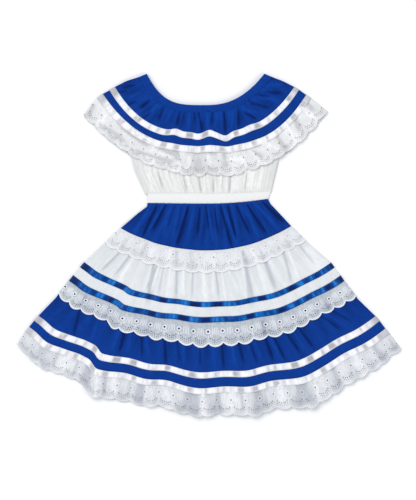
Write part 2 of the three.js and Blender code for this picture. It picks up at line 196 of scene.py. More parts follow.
def gather_wave(across, count, phase):
    """Gathers as a wave from 0 to 2, uneven in width and height and flat at the sides."""
    drift = 0.9 * np.sin(5 * across + phase) + 0.5 * np.sin(13 * across + 2 * phase)
    wave = 1 - np.cos(math.pi * count * (across + 1) + drift)
    return wave * (0.78 + 0.22 * np.sin(7 * across + 3 * phase)) * (1 - across**10)


def crease_height(creases, x, y):
    """Ridges and troughs between the points of a table. A lean makes one flank of a crease steep."""
    total = np.zeros_like(x)
    for head_x, head_y, foot_x, foot_y, height, width, lean in creases:
        start_x = (head_x - PLAN_MIDDLE[0]) * PLAN_SQUARE
        start_y = (PLAN_MIDDLE[1] - head_y) * PLAN_SQUARE
        run_x = (foot_x - head_x) * PLAN_SQUARE
        run_y = (head_y - foot_y) * PLAN_SQUARE
        length = math.hypot(run_x, run_y)
        along = ((x - start_x) * run_x + (y - start_y) * run_y) / length**2
        aside = ((x - start_x) * run_y - (y - start_y) * run_x) / length
        ends = np.clip((along + 0.06) / 0.2, 0, 1) * np.clip((1.12 - along) / 0.42, 0, 1)
        flank = 0.88 * width * (0.65 + 0.7 * np.clip(along, 0, 1)) * (1 - lean * np.sign(aside))
        total += height * ends * ends * (3 - 2 * ends) * np.exp(-((aside / flank) ** 2))
    return total


def relief_of(rows, top, gathers, creases, fine=0.55, fade=2.4):
    """The relief of a gathered cloth: its gathers, finer ones that fade below the top row, and its
    creases."""
    count, phase = gathers
    first = place_of(rows, top)

    def relief(place, across, x, y):
        gather = row_at(rows, place)[9]
        near = np.exp(-fade * np.clip(place - first, 0, 9))
        wide = np.maximum(gather_wave(across, count, phase) / 2, 0) ** 1.35 * 2
        middle = gather_wave(across, 1.7 * count, 2.2 * phase + 0.9) * near**0.5
        small = gather_wave(across, 3.1 * count, phase + 1.7) * near
        whole = 0.6 * wide + 0.4 * middle + fine * small
        return gather * whole + crease_height(creases, x, y)

    return relief


def flat_relief(place, across, x, y):
    """Cloth that is stretched smooth."""
    return np.zeros_like(x)


def front_point(form, place, across, relief):
    """Points of the front layer, in millimetres."""
    rows = form["rows"]
    row = row_at(rows, place)
    x, y = plan_point(rows, place, across)
    low_x, low_y = plan_point(rows, place + LONG_STEP, across)
    top_x, top_y = plan_point(rows, place - LONG_STEP, across)
    down_x, down_y = low_x - top_x, low_y - top_y
    push = fold_sum(form["folds"], across, 1) * row[10] / np.hypot(down_x, down_y)
    x, y = x + down_x * push, y + down_y * push
    edge = np.clip((np.abs(x - BODY_MIDDLE_X) - LIFT_FULL_TO) / (LIFT_ENDS_AT - LIFT_FULL_TO), 0, 1)
    lift = form["lift"] * (1 - edge * edge * (3 - 2 * edge))
    rise = fold_sum(form["folds"], across, 2) * row[10]
    own = np.maximum(relief(place, across, x, y) * (1 - across**10), -DEEPEST_DIP)
    return np.array([x, y, row[8] + form["raised"][1] + lift + rise + own])


def back_point(form, place, across, relief):
    """Points of the back layer, which lies on the floor with its relief turned inward."""
    x, y = plan_point(form["rows"], place, across)
    own = np.clip(relief(place, -across, -x, y), 0, form["inward"]) * BACK_SOFTNESS * (1 - across**10)
    return np.array([x, y, row_at(form["rows"], place)[7] + form["raised"][0] + own])


def ring_point(form, place, turn, relief):
    """Points of a ring laid flat. turn runs from 0 to 4: the front from left to right, the right
    fold, the back, and the left fold."""
    turned = turn % 4
    stretch = np.floor(turned)
    part = turned - stretch
    across = np.select([stretch == 0, stretch == 2], [2 * part - 1, 1 - 2 * part], 0)
    side = np.where(stretch == 1, 1.0, -1.0)
    fold = (stretch == 1) | (stretch == 3)
    across = np.where(fold, side, across)
    front = front_point(form, place, across, relief)
    back = back_point(form, place, across, relief)
    angle = math.pi * np.where(stretch == 1, part, 1 - part)
    away_x, away_y = outward(form["rows"], place, side)
    middle = (front + back) / 2
    bend = np.array([
        middle[0] + away_x * FOLD_INSET * np.sin(angle),
        middle[1] + away_y * FOLD_INSET * np.sin(angle),
        middle[2] + (front[2] - back[2]) / 2 * np.cos(angle),
    ])
    return np.where(fold, bend, np.where(stretch == 0, front, back))


def normal_of(surface, place, turn):
    """The direction out of the cloth at points of a surface."""
    along = surface(place, turn + 0.004) - surface(place, turn - 0.004)
    down = surface(place + 0.02, turn) - surface(place - 0.02, turn)
    normal = np.cross(down.T, along.T).T
    return normal / np.linalg.norm(normal, axis=0)


def lay_out(mesh, flat_to_place, surface, rise=None, painted_shades=None):
    """Moves a flat mesh on to a surface, and keeps its flat place as the UV map, in metres, and
    how deep each point lies between the gathers as its painted shade, from 0 to 1."""
    flat = np.array([vert.co for vert in mesh.verts])
    place, turn, u, v = flat_to_place(flat[:, 0], flat[:, 1])
    points = surface(place, turn)
    if painted_shades is not None:
        # The painted shade of each point, kept on the mesh for its material.
        depth = mesh.verts.layers.float.new("painted_shade")
        for vert, value in zip(mesh.verts, painted_shades(place, turn, points)):
            vert[depth] = value
    lifted = flat[:, 2] + (0 if rise is None else rise)
    points = (points + normal_of(surface, place, turn) * lifted) * MM
    uv = mesh.loops.layers.uv.new("UVMap")
    for face in mesh.faces:
        us = [u[loop.vert.index] for loop in face.loops]
        for loop, across in zip(face.loops, us):
            loop[uv].uv = (across, v[loop.vert.index])
    for vert, point in zip(mesh.verts, points.T):
        vert.co = point


def across_of(turn):
    """The place across the cloth, from -1 at the left to 1 at the right, at turns of a ring."""
    return np.interp(turn % 4, [0, 1, 2, 3, 4], [-1, 1, 1, -1, -1])


def painted_shade_of(relief, rows, across_at=across_of, seams=()):
    """How deep points of a cloth lie between its gathers, from 0 on a ridge to 1 in a trough, and
    1 along the seams that draw it in, given as the cloth's painted shade."""
    def painted_shades(place, turn, points):
        height = relief(place, across_at(turn), points[0], points[1]) - row_at(rows, place)[9]
        # A painted shade line along each seam.
        painted_seam_shade = sum(0.6 * np.exp(-(((place - seam) / 0.09) ** 2)) for seam in seams)
        return np.clip(0.38 - height / 3.4 + painted_seam_shade, 0, 1)

    return painted_shades


def finish_piece(name, mesh, materials, shell=SHELL):
    """A mesh as a piece of the dress: seam closed, faces outward, a thin wall, smooth shading."""
    bmesh.ops.remove_doubles(mesh, verts=mesh.verts, dist=0.00002)
    bmesh.ops.recalc_face_normals(mesh, faces=mesh.faces)
    for face in mesh.faces:
        face.smooth = True
    piece = bpy.data.objects.new(name, bpy.data.meshes.new(name))
    mesh.to_mesh(piece.data)
    mesh.free()
    scene.collection.objects.link(piece)
    for material in materials:
        piece.data.materials.append(material)
    if shell:
        wall = piece.modifiers.new("wall", "SOLIDIFY")
        wall.thickness = shell
        wall.offset = -1
    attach(piece, "root")
    return piece


def ring_cloth(name, form, row_names, relief, columns, steps, material, rise=0.0, shell=SHELL,
               painted_shades=None, under=0.0):
    """A ring of cloth through the named rows. Most of its columns are in front. Its top starts the
    share under of a row higher, below the piece that it is sewn to."""
    rows = form["rows"]
    places = [place_of(rows, row) for row in row_names]
    places[0] -= under
    front, fold, back = columns
    total = front + 2 * fold + back
    mesh = bmesh.new()
    bmesh.ops.create_grid(mesh, x_segments=total, y_segments=steps, size=0.5)
    knots = np.array([0, front, front + fold, front + fold + back, total]) / total
    length = ring_length(form, (places[0] + places[-1]) / 2)
    depth = ring_depth(form, places[0], places[-1])

    def flat_to_place(x, y):
        share = x + 0.5
        turn = np.interp(share, knots, [0, 1, 2, 3, 4])
        place = np.interp(0.5 - y, np.linspace(0, 1, len(places)), places)
        fraction = np.interp(turn, [0, 1, 2, 3, 4], [0, 0.496, 0.5, 0.996, 1])
        return place, turn, fraction * length, (0.5 - y) * depth

    # The ring's painted shade falls between its gathers and along its top seam, unless other shades are
    # given.
    lay_out(mesh, flat_to_place, lambda p, t: ring_point(form, p, t, relief), rise,
            painted_shades or painted_shade_of(relief, rows, seams=(places[0],)))
    return finish_piece(name, mesh, [material], shell)


def ring_length(form, place):
    """The length round the ring at a place, in metres."""
    turn = np.linspace(0, 4, 241)
    points = ring_point(form, np.full_like(turn, place), turn, flat_relief)
    return float(np.linalg.norm(np.diff(points, axis=1), axis=0).sum() * MM)


def ring_depth(form, top, foot):
    """The depth of the cloth between two places at the middle of the front, in metres."""
    middle_y = np.array([row[4] for row in form["rows"].values()])
    order = np.arange(len(middle_y))
    return float((np.interp(top, order, middle_y) - np.interp(foot, order, middle_y)) * MM)


def new_node(tree, kind, inputs=(), **properties):
    """A node in a tree. inputs pairs its sockets with numbers or with the sockets that feed them."""
    node = tree.nodes.new(kind)
    for name, value in properties.items():
        setattr(node, name, value)
    for key, value in dict(inputs).items():
        if isinstance(value, bpy.types.NodeSocket):
            tree.links.new(value, node.inputs[key])
        else:
            node.inputs[key].default_value = value
    return node


def new_group(name, inputs, outputs):
    """An empty node group with named outputs, the place on the cloth and numbers as its inputs."""
    group = bpy.data.node_groups.new(name, "ShaderNodeTree")
    group.interface.new_socket("Cloth", in_out="INPUT", socket_type="NodeSocketVector")
    for title, value in inputs.items():
        socket = group.interface.new_socket(title, in_out="INPUT", socket_type="NodeSocketFloat")
        socket.default_value = value
    for title in outputs:
        group.interface.new_socket(title, in_out="OUTPUT", socket_type="NodeSocketFloat")
    return group, group.nodes.new("NodeGroupInput"), group.nodes.new("NodeGroupOutput")


def calc(tree, operation, first, second=0.0, clamp=False):
    """One step of sums in a node tree."""
    node = new_node(tree, "ShaderNodeMath", {0: first, 1: second}, operation=operation, use_clamp=clamp)
    return node.outputs[0]


def times(tree, first, second, clamp=False):
    """A product in a node tree."""
    return calc(tree, "MULTIPLY", first, second, clamp)


def make_weave_group():
    """Plain weave: threads over and under each other, a little uneven, with thicker slubs."""
    group, source, sink = new_group(
        "plain weave", {"Threads": 2200.0, "Slubs": 0.5}, ("Height", "Shade"))
    cloth, threads = source.outputs["Cloth"], source.outputs["Threads"]
    axes = new_node(group, "ShaderNodeSeparateXYZ", {"Vector": cloth})
    turns = times(group, threads, math.pi)
    warp = calc(group, "SINE", times(group, axes.outputs["X"], turns))
    weft = calc(group, "SINE", times(group, axes.outputs["Y"], turns))
    cross = times(group, warp, weft)
    both = []
    for stretch in ((90, 1400, 1), (1400, 90, 1)):
        place = new_node(group, "ShaderNodeMapping", {"Vector": cloth, "Scale": stretch})
        noise = {"Vector": place.outputs[0], "Scale": 1.0, "Detail": 2.0}
        both.append(new_node(group, "ShaderNodeTexNoise", noise).outputs[0])
    slubs = calc(group, "ADD", *both)
    thick = times(group, slubs, source.outputs["Slubs"])
    height = calc(group, "ADD", times(group, cross, 0.35), thick)
    group.links.new(height, sink.inputs["Height"])
    group.links.new(times(group, slubs, 0.5), sink.inputs["Shade"])
    return group


def make_rumple_group():
    """Soft small wrinkles that lying and wear leave in cotton."""
    group, source, sink = new_group(
        "rumple", {"Scale": 60.0, "Stretch": 0.45}, ("Height", "Shade", "Fine"))
    stretch = new_node(group, "ShaderNodeCombineXYZ", {"X": 1.0, "Y": source.outputs["Stretch"], "Z": 1.0})
    cloth = new_node(group, "ShaderNodeVectorMath", {
        0: source.outputs["Cloth"], 1: stretch.outputs[0]}, operation="MULTIPLY")
    broad = new_node(group, "ShaderNodeTexNoise", {
        "Vector": cloth.outputs[0], "Scale": source.outputs["Scale"], "Detail": 2.5, "Distortion": 0.6})
    fine = times(group, source.outputs["Scale"], 3.2)
    small = new_node(group, "ShaderNodeTexNoise", {
        "Vector": cloth.outputs[0], "Scale": fine, "Detail": 2.0, "Distortion": 0.9})
    ridge = calc(group, "ABSOLUTE", calc(group, "SUBTRACT", broad.outputs[0], 0.5))
    height = calc(group, "SUBTRACT", times(group, small.outputs[0], 0.35), ridge)
    group.links.new(height, sink.inputs["Height"])
    group.links.new(broad.outputs[0], sink.inputs["Shade"])
    fine_speckle = times(group, calc(group, "SUBTRACT", small.outputs[0], 0.42), 4.0, clamp=True)
    group.links.new(fine_speckle, sink.inputs["Fine"])
    return group


WEAVE = make_weave_group()
RUMPLE = make_rumple_group()


def mixed(tree, share, first, second):
    """A colour between two, by a mask."""
    node = new_node(tree, "ShaderNodeMix", {0: share, 6: first, 7: second}, data_type="RGBA")
    return node.outputs[2]


def bumped(tree, height, distance, strength, onto=None):
    """The normal of a height in metres, over another bump."""
    inputs = {"Height": height, "Distance": distance, "Strength": strength}
    if onto is not None:
        inputs["Normal"] = onto
    return new_node(tree, "ShaderNodeBump", inputs).outputs[0]


def cotton(name, colour, deep, light, rumple=60.0, threads=2200.0, crumple=0.0004, mottle=0.12):
    """Woven cotton: weave and slubs, soft wrinkles, and painted shade in the deep colour between the
    gathers.
    mottle is the share of the deep colour in fine speckles that follow the smallest wrinkle noise."""
    material = bpy.data.materials.new(name)
    material.use_nodes = True
    tree = material.node_tree
    shader = tree.nodes["Principled BSDF"]
    cloth = new_node(tree, "ShaderNodeUVMap", uv_map="UVMap").outputs[0]
    weave = new_node(tree, "ShaderNodeGroup", {"Cloth": cloth, "Threads": threads}, node_tree=WEAVE)
    soft = new_node(tree, "ShaderNodeGroup", {"Cloth": cloth, "Scale": rumple}, node_tree=RUMPLE)
    painted_shade = new_node(tree, "ShaderNodeAttribute", attribute_name="painted_shade").outputs["Fac"]
    tone = times(tree, calc(tree, "SUBTRACT", soft.outputs["Shade"], 0.3), 1.6, clamp=True)
    lit = mixed(tree, times(tree, tone, 0.5), colour, light)
    # Painted shade: the deep colour where the cloth lies low between gathers and along seams.
    steep = calc(tree, "POWER", painted_shade, 1.6, clamp=True)
    speckled = mixed(tree, times(tree, soft.outputs["Fine"], mottle), lit, deep)
    base = mixed(tree, steep, speckled, deep)
    thread = times(tree, calc(tree, "SUBTRACT", weave.outputs["Shade"], 0.4), 2.0, clamp=True)
    tree.links.new(mixed(tree, times(tree, thread, 0.2), base, light), shader.inputs["Base Color"])
    rough = calc(tree, "ADD", times(tree, thread, 0.1), 0.78)
    tree.links.new(rough, shader.inputs["Roughness"])
    folds = bumped(tree, soft.outputs["Height"], crumple * 4, 0.8)
    tree.links.new(bumped(tree, weave.outputs["Height"], 0.00012, 0.5, folds), shader.inputs["Normal"])
    shader.inputs["Sheen Weight"].default_value = 0.02
    shader.inputs["Sheen Roughness"].default_value = 0.4
    shader.inputs["Specular IOR Level"].default_value = 0.07
    return material


# Each cotton's second colour is its painted shade colour.
BLUE_COTTON = cotton(
    "blue cotton", (0.0035, 0.049, 0.32, 1), (0.0008, 0.012, 0.10, 1), (0.005, 0.062, 0.38, 1),
    mottle=0.22)

flounce_relief = relief_of(FLOUNCE_ROWS, "casingFoot", (14, 0.4), FLOUNCE_CREASES)
flounce = ring_cloth(
    "flounce_cloth", FLOUNCE, ("casingFoot", "shoulder", "whiteUpperTop", "whiteUpperFoot", "seam"),
    flounce_relief, (260, 5, 100), 26, BLUE_COTTON, painted_shades=painted_shade_of(flounce_relief, FLOUNCE_ROWS),
    under=0.15)
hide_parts("flounce")

# ---------------------------------------------------------------- neck casing
# A doubled strip of the same cotton with elastic in it, round the top of the flounce. It sits a
# little higher than the frill and puckers finely along its stitching.
NECK = {**FLOUNCE, "raised": (0.6, 1.2)}
CASING_WALL = 0.0014
PUCKERS = 46


def pucker_relief(place, across, x, y):
    """Fine puckers, deepest at the stitching along the casing's foot."""
    return 0.35 * np.clip(place, 0, 1) ** 1.5 * gather_wave(across, PUCKERS, 0.6)


def casing_relief(place, across, x, y):
    """The puckered casing: it swells round its elastic, and dips into the frill at the stitching."""
    part = np.clip(place, 0, 1)
    return pucker_relief(place, across, x, y) + 0.7 * np.sin(math.pi * part) - 1.5 * part**3


neck_casing = ring_cloth(
    "neck_casing_cloth", NECK, ("neckline", "casingFoot"), casing_relief, (260, 5, 100), 8,
    BLUE_COTTON, shell=CASING_WALL, painted_shades=painted_shade_of(pucker_relief, FLOUNCE_ROWS))
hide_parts("neck_casing")

# ---------------------------------------------------------------- bodice
# The white cotton top of the dress, in two panels: gathered into the neck under the flounce, and
# into the waistband. Fine upright gathers run down it.
BODICE_ROWS = {
    "top": (-127.3, 307.3, 112.1, 311.2, 252.6, 3.6, 2.5, 3.4, 4.9, 0.15, 0),
    "armhole": (-118, 262, 104, 262, 212, 2.6, 2.6, 3.4, 4.9, 0.3, 0),
    "underarm": (-149.2, 180, 134, 180, 166, 2.2, 2.2, 3.4, 4.9, 0.4, 0),
    "belowLace": (-142.5, 147, 125.8, 145.8, 127, 2, 2, 3.4, 4.9, 1.2, 0),
    "bandTop": (-123.5, 103.6, 117, 106.8, 103.6, 2, 2, 1.1, 3.8, 1, 0),
    "underBand": (-122.5, 99, 116.6, 102.4, 98.6, 2, 2, 1.1, 2.9, 0, 0),
}
BODICE_CREASES = (
    (147, 166, 152, 192, 2.03, 3, 0.4), (158, 172, 163, 192, -1.89, 2.2, 0.3),
    (172, 172, 176, 193, 2.29, 2.6, 0.4), (183, 174, 187, 193, -2.03, 2.2, 0),
    (186, 174, 190, 193, 2.56, 2.4, 0.4), (199, 176, 201, 193, -1.89, 2, 0),
    (204, 175, 205, 192, 2.29, 2.2, 0.3), (214, 176, 213, 193, -2.03, 2.2, 0),
    (222, 176, 220, 193, 2.29, 2.4, -0.3), (231, 175, 229, 193, -2.03, 2, 0),
    (237, 174, 235, 192, 2.56, 2.4, -0.3), (247, 172, 244, 192, -1.89, 2.4, 0),
    (254, 172, 251, 192, 2.29, 2.8, -0.4), (263, 168, 259, 190, 1.89, 3, -0.3),
    # A broad low swell, which mostly lightens the painted shade there.
    (250, 166, 250, 190, 0.9, 13, 0),
)
WHITE_COTTON = cotton(
    "white cotton", (0.83, 0.845, 0.855, 1), (0.49, 0.52, 0.56, 1), (0.92, 0.93, 0.93, 1),
    mottle=0.2)


BODICE_COTTON = cotton(
    "white bodice cotton", (0.87, 0.87, 0.855, 1), (0.52, 0.52, 0.51, 1), (0.94, 0.94, 0.93, 1),
    mottle=0.2)


def bodice_panel(name, level, relief, columns, outside):
    """One panel of the bodice, from side seam to side seam."""
    mesh = bmesh.new()
    bmesh.ops.create_grid(mesh, x_segments=columns, y_segments=38, size=0.5)

    def surface(place, across):
        row = row_at(BODICE_ROWS, place)
        x, y = plan_point(BODICE_ROWS, place, across, 0)
        own = relief(place, across * outside, x * outside, y) * (1 - across**10)
        return np.array([x, y, row[level] + np.maximum(own, -0.6) * (1 if outside > 0 else BACK_SOFTNESS)])

    def flat_to_place(x, y):
        place = np.interp(0.5 - y, [0, 0.2, 0.45, 0.7, 0.97, 1], [0, 1, 2, 3, 4, 5])
        return place, x * 2, x * 0.27, (0.5 - y) * 0.2

    lay_out(mesh, flat_to_place, surface, None,
            painted_shade_of(relief, BODICE_ROWS, lambda across: across * outside))
    piece = finish_piece(name, mesh, [BODICE_COTTON])
    return piece


bodice_relief = relief_of(BODICE_ROWS, "bandTop", (26, 2.0), BODICE_CREASES, 0.25)
bodice_front = bodice_panel("bodice_front_cloth", 8, bodice_relief, 220, 1)
bodice_back = bodice_panel("bodice_back_cloth", 7, bodice_relief, 120, -1)
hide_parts("bodice_front")
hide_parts("bodice_back")

# ---------------------------------------------------------------- skirt, tier by tier
# Three rings of cotton, each longer than the one above and gathered on to it: blue, white, blue.
# The gathers start sharp at the seam and open out; a few large folds run down to the hem.
SKIRT_ROWS = {
    "bandTop": (-117.8, 102.1, 116.9, 105, 102.1, 2, 2, 1.1, 3.8, 0, 0),
    "waist": (-117.8, 83.1, 111.2, 90.7, 81.6, 2, 2, 1.1, 3.8, 0.7, 0),
    "waistTurn": (-118.6, 76.4, 115.6, 81.4, 74.6, 2, 2, 1.2, 4, 1.1, 0),
    "hip": (-137.5, 62.2, 134, 62.2, 37.5, 2, 2, 1.6, 4.2, 1.5, 0),
    "seamOne": (-168.2, 35.6, 154.9, 39.4, -6.9, 2.1, 2.1, 2, 4.6, 0.5, 0.05),
    "laceOneEdge": (-200.5, 5.2, 183.4, 10.9, -50.5, 2, 2, 2, 4.6, 0.9, 0.1),
    "blueUpperTop": (-237, -29.4, 230, -30, -103.6, 2.25, 2.25, 2, 4.6, 0.35, 0.2),
    "blueUpperFoot": (-245.6, -39, 237, -39.6, -113.4, 2.25, 2.25, 2, 4.6, 0.35, 0.24),
    "blueLowerTop": (-258, -54.2, 248.4, -54.4, -131.9, 2.35, 2.35, 2, 4.6, 0.35, 0.28),
    "seamTwo": (-266.4, -64.6, 255.4, -65.2, -143, 2.3, 2.3, 2, 4.6, 0.4, 0.32),
    "laceTwoEdge": (-292, -97, 282, -99.6, -194.5, 2, 2, 2, 4.6, 1.1, 0.48),
    "whiteUpperTop": (-324.4, -130.6, 314.6, -131.4, -234.9, 2.05, 2.4, 2, 4.6, 0.3, 0.65),
    "whiteUpperFoot": (-333, -140.2, 322.8, -140.6, -246.3, 2.1, 2.5, 2, 4.6, 0.25, 0.7),
    "seamThree": (-342.2, -151.8, 333.6, -155, -264.2, 2.12, 2.5, 2, 4.6, 0.2, 0.78),
    "whiteLowerFoot": (-349.6, -161.8, 341.4, -165, -275.9, 2.15, 2.55, 2, 4.6, 0.5, 0.84),
    "hem": (-367.7, -190.5, 365.8, -196.2, -321.5, 2.2, 2.85, 2, 4.6, 1.6, 1),
}
SKIRT_FOLDS = (
    (-0.875, 9, 6, 0.075), (-0.67, -6, 0, 0.07), (-0.61, -3, 0, 0.03), (-0.573, 4, 0, 0.028),
    (-0.54, 7, 7, 0.065), (-0.4, -4, 0, 0.07), (-0.213, -8, 3.5, 0.075), (-0.03, 5, 6, 0.085),
    (0.205, 4.5, 7, 0.08), (0.32, -2.5, 0, 0.07), (0.49, 6, 8, 0.09), (0.74, -7, 3, 0.1),
)
SKIRT = {
    "rows": SKIRT_ROWS, "folds": SKIRT_FOLDS, "raised": (0.0, 0.0), "lift": 0.0, "inward": 3.2}
TIER_ONE_CREASES = (
    (157, 204, 141, 239, -3, 2.6, 0.5), (151, 205, 133, 236, 2.3, 3.8, 0),
    (166, 204, 152, 230, -2.5, 2.2, 0.4), (172, 206, 163, 236, 2.1, 3, 0),
    (188, 206, 176, 246, -3.5, 2.8, 0.5), (180, 206, 172, 240, 2, 3.2, 0),
    (194, 206, 188, 238, 2.1, 3, 0), (200, 206, 197, 236, -2.2, 2.2, 0.3),
    (207, 205, 213, 240, 2.5, 3, 0), (206, 205, 209, 232, -2.6, 2, 0.3),
    (214, 206, 218, 236, -2.1, 2.2, 0.3), (221, 206, 232, 246, -3.4, 2.6, -0.5),
    (228, 205, 237, 240, -2.9, 2.2, -0.4), (224, 206, 236, 244, 2.2, 2.6, 0),
    (236, 204, 250, 234, -2.6, 2.2, -0.4), (241, 204, 258, 236, 2.2, 3, 0),
    (246, 203, 267, 234, -2.9, 2.4, -0.4), (254, 202, 277, 228, 2.2, 3.2, 0),
    (262, 201, 284, 222, -2.6, 2.6, -0.4),
)
TIER_TWO_CREASES = (
    (120.8, 251.2, 100, 272, -1.8, 3, 0.4), (134.9, 255.4, 118, 284, 1.9, 4, 0),
    (132.2, 252.6, 114, 276, -1.8, 2.6, 0.4), (154, 261, 147, 304, -2.6, 4.6, 0.4),
    (160.4, 261.5, 150, 294, 2, 3, 0), (157.7, 264, 146, 290, -2, 2.2, 0.4),
    (164.5, 262.2, 158, 296, -1.9, 2.4, 0.3), (170.9, 263.2, 167, 297, 1.7, 2.8, 0),
    (177.3, 262.3, 176, 300, -1.9, 2.4, 0), (184, 263.5, 184, 296, 1.5, 2.8, 0),
    (193.3, 262.3, 192, 300, -1.7, 2.4, 0), (204, 263.6, 206, 304, 2.2, 4.6, 0),
    (215.1, 264.9, 219, 300, -1.9, 2.2, 0.2), (212.7, 266.1, 214, 296, 1.5, 2.6, 0),
    (220.8, 263.6, 226, 300, 1.8, 2.4, -0.3), (227.3, 268.6, 239, 292, 1.3, 2.6, 0),
    (240.3, 249.4, 252, 304, 2.2, 4.2, -0.5), (243, 250, 251, 306, -3.4, 5.2, 0.2),
    (252.4, 251.8, 268, 296, 1.8, 3.4, 0), (262, 253, 276, 292, -2, 4.4, 0.2),
    (282.9, 250.2, 292, 284, -1.9, 2.8, 0), (287.3, 248.8, 299, 280, 1.5, 3.4, 0),
    # The second entry below is a broad low swell, which mostly lightens the painted shade there.
    (299.1, 245.2, 316, 266, -1.5, 3, 0), (306, 246, 322, 272, 1.2, 16, 0),
)
TIER_THREE_CREASES = (
    (128, 319.6, 119, 352, -2.9, 2.6, 0.3), (123.8, 317.6, 113, 350, 1.8, 3.4, 0),
    (132.4, 326.8, 127, 352, 1.5, 3.2, 0), (80.2, 309.2, 73, 338, -1.8, 2.8, 0),
    (100, 313.2, 91, 342, 1.5, 3.4, 0), (142, 329.2, 142, 358, -2, 2.4, 0),
    (145.4, 327.6, 149, 360, 1.4, 2.8, 0), (164.2, 330, 166, 366, -2.2, 2.6, 0),
    (176.4, 333.4, 180, 364, -1.7, 2.4, 0), (184, 333.6, 184, 366, 1.4, 3, 0),
    (200, 335.6, 200, 368, -1.7, 2.6, 0), (212.2, 335.6, 214, 368, 1.4, 3.2, 0),
    (220.4, 334, 224, 370, -1.9, 2.4, 0), (228.8, 335.4, 236, 366, 1.3, 3, 0),
    (236.8, 335.2, 244, 364, -1.8, 2.4, 0), (246.2, 331.6, 257, 364, -1.9, 2.2, 0.2),
    (251.2, 331.4, 262, 362, 1.5, 2.8, 0), (263.2, 329.6, 274, 362, -2.4, 3.2, -0.3),
    (268, 326, 286, 362, -1.9, 2.2, 0.2), (266.6, 329.4, 281, 360, 1.7, 2.6, 0),
    (281.2, 325.2, 301, 354, -2, 2.4, 0), (288, 323.2, 306, 352, 1.5, 3, 0),
    (293.4, 321.2, 315, 350, -2, 2.4, 0.2), (315.8, 312, 341, 330, -1.9, 2.4, 0),
    (326.8, 307.6, 352, 322, -1.7, 2.4, 0), (321, 310, 348, 328, 1.4, 3, 0),
)

tier_one_relief = relief_of(SKIRT_ROWS, "waist", (17, 0.0), TIER_ONE_CREASES, 0.7, 1.3)
tier_two_relief = relief_of(SKIRT_ROWS, "seamOne", (21, 1.3), TIER_TWO_CREASES)
tier_three_relief = relief_of(SKIRT_ROWS, "seamTwo", (20, 2.6), TIER_THREE_CREASES)
tier_one = ring_cloth(
    "tier_1_cloth", SKIRT, ("waist", "hip", "seamOne"), tier_one_relief, (300, 5, 110), 26, BLUE_COTTON)
tier_two = ring_cloth(
    "tier_2_cloth", SKIRT, ("seamOne", "laceOneEdge", "blueUpperTop", "seamTwo"), tier_two_relief,
    (330, 5, 120), 34, WHITE_COTTON)


def under_lace(place, turn, points):
    """The lowest tier is in the shade of the lace that hangs over its top."""
    own = painted_shade_of(tier_three_relief, SKIRT_ROWS)(place, turn, points)
    lace_edge = place_of(SKIRT_ROWS, "laceTwoEdge")
    return np.clip(own + 0.62 * np.clip((lace_edge - 0.1 - place) / 0.2, 0, 1), 0, 1)


tier_three = ring_cloth(
    "tier_3_cloth", SKIRT, ("seamTwo", "laceTwoEdge", "whiteUpperTop", "seamThree"), tier_three_relief,
    (340, 5, 130), 30, BLUE_COTTON, painted_shades=under_lace)
for piece, node, slot, flat in (
    (tier_one, "tier_1", "blue_cotton", (0.70, 0.085)),
    (tier_two, "tier_2", "white_cotton", (1.20, 0.141)),
    (tier_three, "tier_3", "blue_cotton", (1.65, 0.121)),
):
    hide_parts(node)

# ---------------------------------------------------------------- waistband
# A smooth white casing with broad elastic in it, between bodice and skirt. Both its edges are
# stitched, and it puckers slightly.
BAND_PUCKERS = 44
BAND_WALL = 0.0014
ELASTIC_COTTON = cotton(
    "white elastic casing", (0.83, 0.825, 0.82, 1), (0.72, 0.72, 0.73, 1), (0.87, 0.865, 0.86, 1),
    rumple=40.0)


def band_relief(place, across, x, y):
    """A gentle swell between the two stitched edges, with slight puckers."""
    part = np.clip(place, 0, 1)
    return 0.7 * np.sin(math.pi * part) + 0.3 * (1 - 0.6 * part) * gather_wave(across, BAND_PUCKERS, 1.1)


waistband = ring_cloth(
    "waistband_cloth", SKIRT, ("bandTop", "waist"), band_relief, (220, 5, 90), 8, ELASTIC_COTTON,
    shell=BAND_WALL)
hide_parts("waistband")

# ---------------------------------------------------------------- ribbons
# Narrow satin ribbons sewn flat on the cloth: two white ones on the flounce, two blue ones on the
# white tier, two white ones on the lowest tier. They ride over the gathers in short flat lengths,
# which catch the light one by one.
# Their colour also carries painted reflections: lighter and darker lengths, and glints.
RIBBON_SHELL = 0.00035
RIBBON_RISE = 0.75
FACETS = 40


